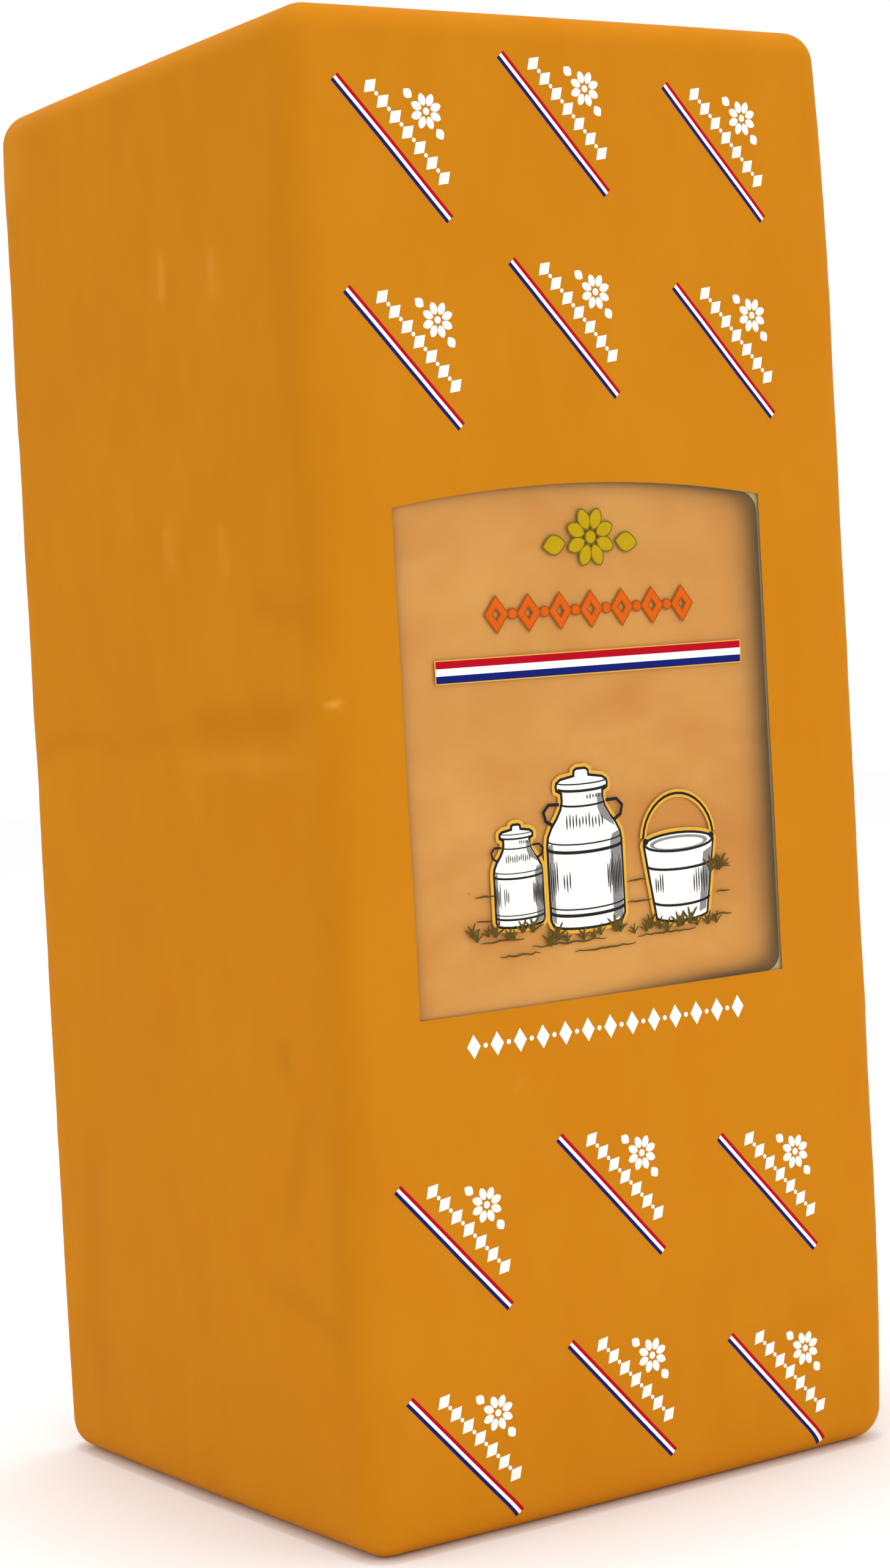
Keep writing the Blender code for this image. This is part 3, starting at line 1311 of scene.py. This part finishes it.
@dataclass(frozen=True)
class Chain:
    """A row of lozenges with a dot between each two, in millimetres."""

    links: int
    pitch: float
    width: float
    height: float
    dot_radius: float
    stroke: float = 0.0

    def build(
        self, name: str, tree: bpy.types.NodeTree, ink: bpy.types.Material, outset: float
    ) -> bpy.types.Object:
        """Makes the chain about the origin.

        Args:
            name: The object's name.
            tree: The tree that repeats the link.
            ink: The chain's ink.
            outset: How far each shape is grown, for an outline under it.

        Returns:
            The flat chain.
        """
        outer = lozenge(self.width, self.height)
        link = Sketch()
        if self.stroke:
            link.ring(grown(outer, outset), grown(outer, -self.stroke - outset))
        else:
            link.shape(grown(outer, outset))
        values = {
            "Links": self.links,
            "Pitch": self.pitch * MM,
            "Dot Radius": (self.dot_radius + outset) * MM,
            "Ink": ink,
        }
        return run_tree(link.build(name), tree, values)


@dataclass
class StripePrint:
    """Diagonal tricolour stripes over the front, each with a white chain and flower beside it."""

    press: Press
    row: bpy.types.NodeTree
    columns: tuple[float, ...] = (18.2, 49.8, 83.25)
    heights: tuple[float, ...] = (222.3, 189.3, 47.5, 13.7)
    middle_raise: float = 4.2
    spread: float = 0.00017
    length: float = 29.7
    band: float = 0.57
    turn: float = 47.3
    chain: Chain = Chain(7, 3.2, 2.2, 3.2, 0.36)
    chain_away: float = 3.9
    blossom: Flower = Flower(3.0, 8, 1.35, 2.0, 1.6)
    flower_away: float = 8.9
    caption: Chain = Chain(13, 4.56, 2.6, 3.9, 0.42)
    caption_place: Point = (51.3, 79.4)

    def places(self) -> tuple[Point, ...]:
        """Works out where the stripes stand: the middle column higher, the rows spread to the right.

        Returns:
            The middle of each stripe.
        """
        middle = self.columns[1]
        waist = sum(self.heights) / len(self.heights)
        made = []
        for height in self.heights:
            for x in self.columns:
                z = waist + (height - waist) * (1.0 + self.spread * (x - middle))
                made.append((x, z + (self.middle_raise if x == middle else 0.0)))
        return tuple(made)

    def build(self) -> None:
        """Prints the stripes, what stands beside them, and the row under the window."""
        places = self.places()
        half = self.length / 2
        bands = ((Ink.RED, 0.5, 1.5), (Ink.WHITE, -0.5, 0.5), (Ink.BLUE, -1.5, -0.5))
        for ink, low, high in bands:
            stripe = Sketch(longest_edge=0.8).shape(box(-half, low * self.band, half, high * self.band))
            name = "stripe_" + ink.name.lower()
            self.press.lay(stripe.build(name), ink, 0, places, self.turn)
        white = self.press.ink(Ink.WHITE)
        chain = self.chain.build("stripe_chain", self.row, white, 0.0)
        chain.data.transform(Matrix.Translation((0.0, 0.0, self.chain_away * MM)))
        self.press.lay(chain, Ink.WHITE, 0, places, self.turn)
        flower = Sketch(longest_edge=1.2).shapes(self.blossom.shapes())
        design = flower.build("stripe_flower", (0.0, self.flower_away))
        self.press.lay(design, Ink.WHITE, 0, places, self.turn)
        caption = self.caption.build("caption_chain", self.row, white, 0.0)
        self.press.lay(caption, Ink.WHITE, 0, (self.caption_place,))


@dataclass
class WindowPrint:
    """The print on the window: a gold flower, an orange chain and a tricolour bar."""

    press: Press
    row: bpy.types.NodeTree
    flower_place: Point = (52.5, 159.6)
    blossom: Flower = Flower(4.85, 8, 2.15, 4.3, 3.0)
    chain: Chain = Chain(7, 6.35, 4.3, 5.6, 0.75, stroke=0.95)
    chain_place: Point = (52.0, 147.9)
    bar_left: float = 20.7
    bar_right: float = 83.2
    bar_bottom: float = 137.5
    bar_top: float = 141.0
    outline: float = 0.24
    bar_outline: float = 0.2

    def build(self) -> None:
        """Prints the three designs."""
        press = self.press
        for name, ink, layer, outset in (
            ("window_flower_edge", Ink.OLIVE, 0, self.outline), ("window_flower", Ink.GOLD, 1, 0.0)
        ):
            shapes = [grown(shape, outset) for shape in self.blossom.shapes()]
            press.lay(Sketch().shapes(shapes).build(name, self.flower_place), ink, layer)
        for name, ink, layer, outset in (
            ("window_chain_edge", Ink.RUST, 0, self.outline), ("window_chain", Ink.ORANGE, 1, 0.0)
        ):
            chain = self.chain.build(name, self.row, press.ink(ink), outset)
            press.lay(chain, ink, layer, (self.chain_place,))
        whole = box(self.bar_left, self.bar_bottom, self.bar_right, self.bar_top)
        press.lay(Sketch().shape(grown(whole, self.bar_outline)).build("bar_edge"), Ink.HALO, 0)
        band = (self.bar_top - self.bar_bottom) / 3
        for i, ink in enumerate((Ink.BLUE, Ink.WHITE, Ink.RED)):
            low = self.bar_bottom + i * band
            stripe = Sketch().shape(box(self.bar_left, low, self.bar_right, low + band))
            press.lay(stripe.build("bar_" + ink.name.lower()), ink, 1)


@dataclass
class DairyPicture:
    """An engraved picture of two milk churns and a pail on grass, low in the window."""

    press: Press
    tufts: bpy.types.NodeTree
    churn_spot: Spot = (48.0, 96.6, 1.0)
    small_spot: Spot = (34.4, 97.8, 0.64)
    pail_spot: Spot = (67.6, 95.8, 1.2)
    outline: float = 0.42
    halo: float = 0.55
    bail_line: float = 0.42
    bail_halo: float = 1.3
    ground_line: float = 0.32
    blade_line: float = 0.34
    pail_line: float = 0.4
    engraved_line: float = 0.2
    grass_drift: float = 0.7
    seed: int = 11

    def churn(self) -> Outline:
        """Draws the churn: its body, shoulder, neck and lid.

        Returns:
            Its outline about the middle of its foot.
        """
        side = [
            (7.3, 0.3), (7.75, 1.2), (7.75, 13.4), (7.5, 14.8), (6.7, 16.3), (5.5, 17.8), (4.7, 19.1),
            (4.35, 20.3), (4.35, 21.5), (5.3, 22.0), (5.4, 22.9), (5.2, 23.5), (4.3, 24.1), (1.7, 24.5),
            (1.6, 25.3), (0.9, 25.7),
        ]
        return self.hoop(7.3, 0.3, 1.1, 1.5, 13) + side + [(-x, z) for x, z in reversed(side)]

    def pail(self) -> Outline:
        """The pail's outline about the middle of its foot."""
        rim = self.oval(6.4, 10.4, 1.5, np.linspace(0.0, math.pi, 15))
        return self.hoop(4.7, 0.2, 0.9, 1.5, 11) + rim

    def bail(self) -> Outline:
        """The pail's handle, as a line."""
        return self.oval(6.3, 10.6, 6.6, np.linspace(0.12, math.pi - 0.12, 17))

    def moved(self, outline: Outline, spot: Spot) -> Outline:
        """Takes a shape to its place and size in the picture."""
        return [(x * spot[2] + spot[0], z * spot[2] + spot[1]) for x, z in outline]

    def oval(self, half: float, z: float, up: float, angles: np.ndarray) -> Outline:
        """Points of an oval about the upright axis, at angles from +X."""
        return [(half * math.cos(a), z + up * math.sin(a)) for a in angles]

    def hoop(self, half: float, z: float, drop: float, turn: float = 1.45, count: int = 15) -> Outline:
        """The front half of a level ring round the churn or the pail, up to a turn on either side."""
        return [(half * math.sin(a), z - drop * math.cos(a)) for a in np.linspace(-turn, turn, count)]

    def hatching(
        self, low: float, high: float, bottom: float, top: float, lines: int, rng: random.Random
    ) -> list[Outline]:
        """Upright engraved lines of uneven length.

        Args:
            low: Where the first stands across.
            high: Where the last stands across.
            bottom: Where they start at the lowest.
            top: Where they end at the highest.
            lines: How many there are.
            rng: Gives their lengths.

        Returns:
            The lines.
        """
        made = []
        for x in np.linspace(low, high, lines).tolist():
            start = bottom + rng.uniform(0.0, 0.25) * (top - bottom)
            end = top - rng.uniform(0.0, 0.3) * (top - bottom)
            made.append([(x, start + (end - start) * i / 4) for i in range(5)])
        return made

    def ground(self, rng: random.Random) -> Sketch:
        """Draws broken lines of ground under and behind the churns and the pail.

        Args:
            rng: Gives their waver.

        Returns:
            The sketch.
        """
        sketch = Sketch()
        lines = (
            (25.8, 30.2, 103.0), (56.5, 60.5, 102.8), (74.6, 78.6, 103.4), (25.8, 29.6, 99.0),
            (56.2, 61.4, 99.4), (75.2, 78.2, 99.2), (26.4, 35.0, 95.6), (40.0, 44.0, 95.0),
            (36.5, 51.5, 94.0), (58.0, 70.5, 93.6), (30.0, 38.0, 93.0), (45.0, 57.5, 92.4),
            (74.0, 78.4, 95.4),
        )
        for start, end, z in lines:
            steps = max(3, round((end - start) / 0.9))
            across = [start + (end - start) * i / steps for i in range(steps + 1)]
            path = [(x, z + rng.uniform(-0.16, 0.16)) for x in across]
            sketch.stroke(path, self.ground_line, taper=0.6)
        return sketch

    def tuft(self) -> Sketch:
        """Draws a tuft of five blades of grass about its root.

        Returns:
            The sketch.
        """
        sketch = Sketch()
        for lean, height in ((-1.5, 1.5), (-0.7, 2.3), (0.0, 1.7), (0.75, 2.6), (1.6, 1.4)):
            path = [(lean * t * t + 0.14 * lean, height * t) for t in (0.0, 0.3, 0.6, 0.85, 1.0)]
            sketch.stroke(path, self.blade_line, taper=0.75)
        return sketch

    def build(self) -> None:
        """Prints the picture, from the yellow under it to its black lines."""
        press = self.press
        rng = random.Random(self.seed)
        churns = [self.moved(self.churn(), spot) for spot in (self.churn_spot, self.small_spot)]
        forms = [*churns, self.moved(self.pail(), self.pail_spot)]
        bail = self.moved(self.bail(), self.pail_spot)
        glow = Sketch().shapes([grown(form, self.halo) for form in forms])
        press.lay(glow.stroke(bail, self.bail_halo).build("picture_glow"), Ink.HALO, 0)
        press.lay(self.ground(rng).build("picture_ground"), Ink.EARTH, 0)
        for name, place, count, length in (
            ("grass_left", (31.5, 96.2), 8, 14.0),
            ("grass_middle", (50.5, 94.3), 10, 22.0),
            ("grass_right", (68.5, 93.9), 9, 15.0),
            ("grass_far", (76.6, 103.4), 3, 4.5),
        ):
            values = {
                "Count": count, "Length": length * MM, "Spread": self.grass_drift * MM,
                "Seed": self.seed + count, "Ink": press.ink(Ink.EARTH),
            }
            grass = run_tree(self.tuft().build(name), self.tufts, values)
            press.lay(grass, Ink.EARTH, 5, (place,))
        solid = Sketch().shapes(forms)
        press.lay(solid.stroke(bail, self.bail_line).build("picture_outline"), Ink.BLACK, 1)
        inner = Sketch().shapes([grown(form, -self.outline) for form in forms])
        press.lay(inner.build("picture_white"), Ink.WHITE, 2)
        press.lay(self.shading().build("picture_grey"), Ink.GREY, 3)
        press.lay(self.lines(rng).build("picture_lines"), Ink.BLACK, 4)

    def shading(self) -> Sketch:
        """Draws the grey sides of the churns and the pail, and the pail's inside.

        Returns:
            The sketch.
        """
        sketch = Sketch()
        body = [(5.2, 0.2), (7.2, 0.9), (7.3, 13.4), (7.0, 14.8), (5.7, 14.3), (5.2, 13.0)]
        shoulder = [(3.6, 17.2), (6.4, 15.6), (5.2, 17.7), (4.3, 19.1), (3.9, 21.2), (3.0, 21.2), (3.0, 18.8)]
        left = [(-7.3, 1.2), (-6.5, 0.6), (-6.5, 13.6), (-7.3, 13.4)]
        for spot in (self.churn_spot, self.small_spot):
            sketch.shapes([self.moved(part, spot) for part in (body, shoulder, left)])
        side = [(3.1, 0.4), (4.3, 0.8), (5.95, 9.4), (4.3, 8.6)]
        sketch.shape(self.moved(side, self.pail_spot))
        turns = np.linspace(0.0, 2 * math.pi, 21)[:-1]
        inside, milk = (self.oval(*sizes, turns) for sizes in ((5.2, 10.35, 1.0), (4.5, 10.25, 0.75)))
        sketch.ring(self.moved(inside, self.pail_spot), self.moved(milk, self.pail_spot))
        return sketch

    def lines(self, rng: random.Random) -> Sketch:
        """Draws the black lines: hoops, seams, handles, rims and engraved shading.

        Args:
            rng: Gives the lengths of the engraved lines.

        Returns:
            The sketch.
        """
        sketch = Sketch()
        for churn in (self.churn_spot, self.small_spot):
            size = churn[2]
            for half, z, drop, width in (
                (7.6, 2.6, 1.1, 0.5), (7.6, 3.6, 1.1, 0.22), (7.6, 12.9, 1.1, 0.5), (7.5, 14.2, 1.1, 0.22),
                (4.5, 19.9, 0.6, 0.3), (4.9, 22.4, 0.6, 0.42), (5.0, 23.4, 0.5, 0.2),
            ):
                sketch.stroke(self.moved(self.hoop(half, z, drop), churn), width * size)
            for side in (-1.0, 1.0):
                handle = [(6.2, 16.6), (7.6, 17.4), (8.0, 18.9), (6.9, 20.0), (4.8, 19.9)]
                sketch.stroke(self.moved([(side * x, z) for x, z in handle], churn), 0.55 * size)
            for low, high, bottom, top, count in (
                (4.4, 7.1, 4.2, 11.6, 9), (-7.2, -5.9, 4.2, 11.2, 4), (-3.4, 3.8, 15.6, 18.2, 12),
                (1.0, 4.0, 20.3, 21.4, 6), (-4.6, -3.4, 5.0, 9.6, 3),
            ):
                for line in self.hatching(low, high, bottom, top, count, rng):
                    sketch.stroke(self.moved(line, churn), self.engraved_line * size, taper=0.8)
        pail = self.pail_spot
        rim = self.oval(6.0, 10.4, 1.2, np.linspace(math.pi, 2 * math.pi, 15))
        sketch.stroke(self.moved(rim, pail), self.pail_line)
        for half, z in ((5.1, 2.6), (5.95, 7.6)):
            sketch.stroke(self.moved(self.hoop(half, z, 0.95), pail), self.pail_line)
        for line in self.hatching(2.4, 4.6, 3.0, 6.6, 6, rng) + self.hatching(-4.4, -3.2, 3.2, 6.4, 4, rng):
            sketch.stroke(self.moved(line, pail), self.engraved_line, taper=0.8)
        sketch.shapes([self.moved(disc((side * 5.9, 10.9), 0.45, 10), pail) for side in (-1.0, 1.0)])
        return sketch


# The studio


@dataclass
class Studio:
    """A plain pale floor and white surround, soft lights, and the camera at the photo's angle."""

    floor_radius: float = 3.0
    floor_colour: str = "FCFCFC"
    surround: float = 1.0
    lens: float = 67.6
    camera_place: tuple[float, float, float] = (-0.2968, -0.4367, 0.1381)
    camera_forward: tuple[float, float, float] = (0.5643, 0.8248, -0.0364)
    camera_roll: float = 3.2
    front_light: float = 2.85
    top_light: float = 3.7

    def build(self) -> None:
        """Builds the whole studio."""
        self.floor()
        self.surroundings()
        self.lights()
        self.camera()

    def floor(self) -> None:
        """A wide flat disc under the block."""
        count = 96
        turns = 2 * np.pi * np.arange(count) / count
        rim = self.floor_radius * np.stack([np.cos(turns), np.sin(turns), np.zeros(count)], 1)
        floor = mesh_object("floor", rim, [list(range(count))])
        material, tree = new_material("pale floor")
        shader = add(
            tree, PRINCIPLED,
            {"Base Color": linear(self.floor_colour), "Roughness": 0.9, "Specular IOR Level": 0.1},
        )
        add(tree, "ShaderNodeOutputMaterial", {"Surface": shader})
        floor.data.materials.append(material)

    def surroundings(self) -> None:
        """Even white light from everywhere."""
        world = bpy.data.worlds.new("surround")
        world.use_nodes = True
        background = world.node_tree.nodes["Background"]
        background.inputs["Color"].default_value = (1.0, 1.0, 1.0, 1.0)
        background.inputs["Strength"].default_value = self.surround
        bpy.context.scene.world = world

    def lights(self) -> None:
        """A large soft light before the printed front, and one overhead that keeps the floor white."""
        for name, size, power, place, aim in (
            ("front_softbox", 1.2, self.front_light, (0.55, -1.25, 0.25), (0.0, 0.0, 0.12)),
            ("top_softbox", 0.3, self.top_light, (0.0, 0.0, 1.1), (0.0, 0.0, 0.0)),
        ):
            data = bpy.data.lights.new(name, "AREA")
            data.shape = "SQUARE"
            data.size = size
            data.energy = power
            turn = (Vector(aim) - Vector(place)).to_track_quat("-Z", "Y").to_matrix().to_4x4()
            in_scene(name, data).matrix_world = Matrix.Translation(place) @ turn

    def camera(self) -> None:
        """The camera, where the photo was taken from."""
        data = bpy.data.cameras.new("camera")
        data.lens = self.lens
        data.sensor_width = 36.0
        data.clip_start, data.clip_end = 0.01, 20.0
        forward = Vector(self.camera_forward).normalized()
        level = forward.cross(Vector((0.0, 0.0, 1.0))).normalized()
        upright = level.cross(forward)
        roll = math.radians(self.camera_roll)
        up = upright * math.cos(roll) + level * math.sin(roll)
        right = forward.cross(up)
        turn = Matrix((right, up, -forward)).transposed().to_4x4()
        camera = in_scene("camera", data)
        camera.matrix_world = Matrix.Translation(Vector(self.camera_place)) @ turn
        bpy.context.scene.camera = camera
        bpy.context.scene.view_settings.view_transform = "Standard"


# The film's soft folds, in millimetres in the block's own frame: the plain side's are the photo's, and
# those of the sides that it doesn't show are of the same kind. Each has its two ends, its height and
# width, how far it wanders, how dark its painted shade is, or its painted highlight where that is below
# 0, and how wide the painted shade or highlight is.
CREASES = (
    Crease((-55.7, 50.0, 128.0), (-55.7, 20.0, 133.0), -0.16, 1.6, 0.6, 0.16, 2.2),
    Crease((-55.7, 27.0, 132.0), (-55.7, -14.0, 131.6), -0.14, 1.6, 1.0, 0.12, 2.4),
    Crease((-55.7, -6.0, 132.4), (-55.7, -51.0, 133.6), -0.24, 2.0, 0.8, 0.27, 3.0),
    Crease((-55.7, -8.0, 126.8), (-55.7, -48.0, 127.6), 0.18, 2.2, 0.8, -0.10, 2.4),
    Crease((-55.7, -30.0, 151.6), (-55.7, -53.0, 149.0), -0.14, 2.0, 0.8, 0.20, 2.4),
    Crease((-55.3, -50.9, 135.3), (-52.4, -53.0, 135.7), 0.35, 1.0, 0.0, -0.6, 0.65),
    Crease((-55.7, -9.3, 212.0), (-55.7, -9.7, 203.0), 0.14, 1.1, 0.0, -0.30, 0.8),
    Crease((-55.7, -26.4, 210.0), (-55.7, -26.9, 201.0), 0.14, 1.1, 0.0, -0.30, 0.8),
    Crease((-55.7, -6.8, 167.0), (-55.7, -7.4, 158.0), 0.14, 1.1, 0.0, -0.30, 0.8),
    Crease((-55.7, -24.7, 166.0), (-55.7, -25.3, 157.0), 0.14, 1.1, 0.0, -0.30, 0.8),
    Crease((-55.7, -33.8, 83.0), (-55.7, -34.6, 76.0), -0.18, 2.0, 0.0, 0.24, 2.2),
    Crease((-55.7, -42.8, 72.0), (-55.7, -30.0, 51.0), -0.14, 2.2, 0.8, 0.15, 2.6),
    Crease((-55.7, -24.0, 41.8), (-55.7, -37.0, 40.0), -0.14, 1.6, 0.4, 0.18, 2.0),
    Crease((-55.7, -35.0, 40.4), (-55.7, -47.5, 35.0), -0.14, 1.6, 0.4, 0.20, 2.0),
    Crease((-55.7, 36.5, 64.0), (-55.7, 34.5, 2.0), -0.14, 3.0, 0.8, 0.16, 4.5),
    Crease((-55.7, -47.2, 240.0), (-55.7, -49.4, 138.0), -0.10, 3.0, 0.6, 0.14, 4.0),
    Crease((-55.7, -49.2, 126.0), (-55.7, -48.0, 12.0), -0.10, 3.0, 0.6, 0.12, 4.0),
    Crease((-55.7, 38.0, 239.0), (-55.7, 53.0, 229.0), 0.10, 5.0, 0.0, -0.12, 6.0),
    Crease((4.0, -53.4, 31.0), (46.0, -53.4, 40.0), 0.08, 3.0, 1.0, 0.07, 3.5),
    Crease((8.0, -53.4, 19.0), (48.0, -53.4, 26.0), 0.08, 3.0, 1.0, 0.06, 3.5),
    Crease((-24.6, -53.4, 72.5), (-20.4, -53.4, 70.2), 0.08, 0.8, 0.0, -0.10, 0.7),
    Crease((55.7, 50.0, 118.0), (55.7, -48.0, 121.0), -0.20, 2.0, 1.5, 0.22, 3.0),
    Crease((55.7, 48.0, 113.0), (55.7, -40.0, 116.0), 0.20, 2.2, 1.5, -0.08, 2.4),
    Crease((55.7, 30.0, 205.0), (55.7, 28.0, 160.0), -0.14, 3.0, 1.5, 0.14, 4.0),
    Crease((55.7, -12.0, 90.0), (55.7, -16.0, 45.0), -0.14, 2.4, 1.5, 0.15, 3.0),
    Crease((55.7, -47.0, 225.0), (55.7, -48.0, 30.0), -0.10, 3.0, 0.6, 0.10, 4.0),
    Crease((48.0, 53.4, 131.0), (-50.0, 53.4, 127.0), -0.20, 2.0, 1.5, 0.22, 3.0),
    Crease((44.0, 53.4, 126.0), (-44.0, 53.4, 122.0), 0.20, 2.2, 1.5, -0.08, 2.4),
    Crease((20.0, 53.4, 225.0), (24.0, 53.4, 170.0), -0.14, 3.0, 1.5, 0.14, 4.0),
    Crease((-24.0, 53.4, 84.0), (-20.0, 53.4, 40.0), -0.14, 2.4, 1.5, 0.15, 3.0),
    Crease((-34.0, -20.0, 245.0), (38.0, 8.0, 245.0), -0.16, 2.6, 2.0, 0.16, 3.5),
    Crease((-10.0, 40.0, 245.0), (22.0, -36.0, 245.0), 0.14, 2.4, 2.0, -0.06, 3.0),
)


def main() -> None:
    """Builds the block, its print and the studio, and reports each piece."""
    logging.basicConfig(level=logging.INFO, format="%(name)s: %(message)s")
    form = BlockForm(width=111.4 * MM, depth=106.8 * MM, height=245.0 * MM, creases=CREASES)
    wrap = FilmWrap(form)
    for piece in (wrap, CheeseBlock(form), WindowPane(form)):
        made = piece.build()
        log.info("%s: %d faces", made.name, len(made.data.polygons))
    skin = wrap.surface("printing_face", with_window=False)
    press = Press(form, skin)
    row = row_tree()
    StripePrint(press, row).build()
    WindowPrint(press, row).build()
    DairyPicture(press, scatter_tree()).build()
    bpy.data.objects.remove(skin)
    Studio().build()
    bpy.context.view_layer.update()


if __name__ == "__main__":
    main()
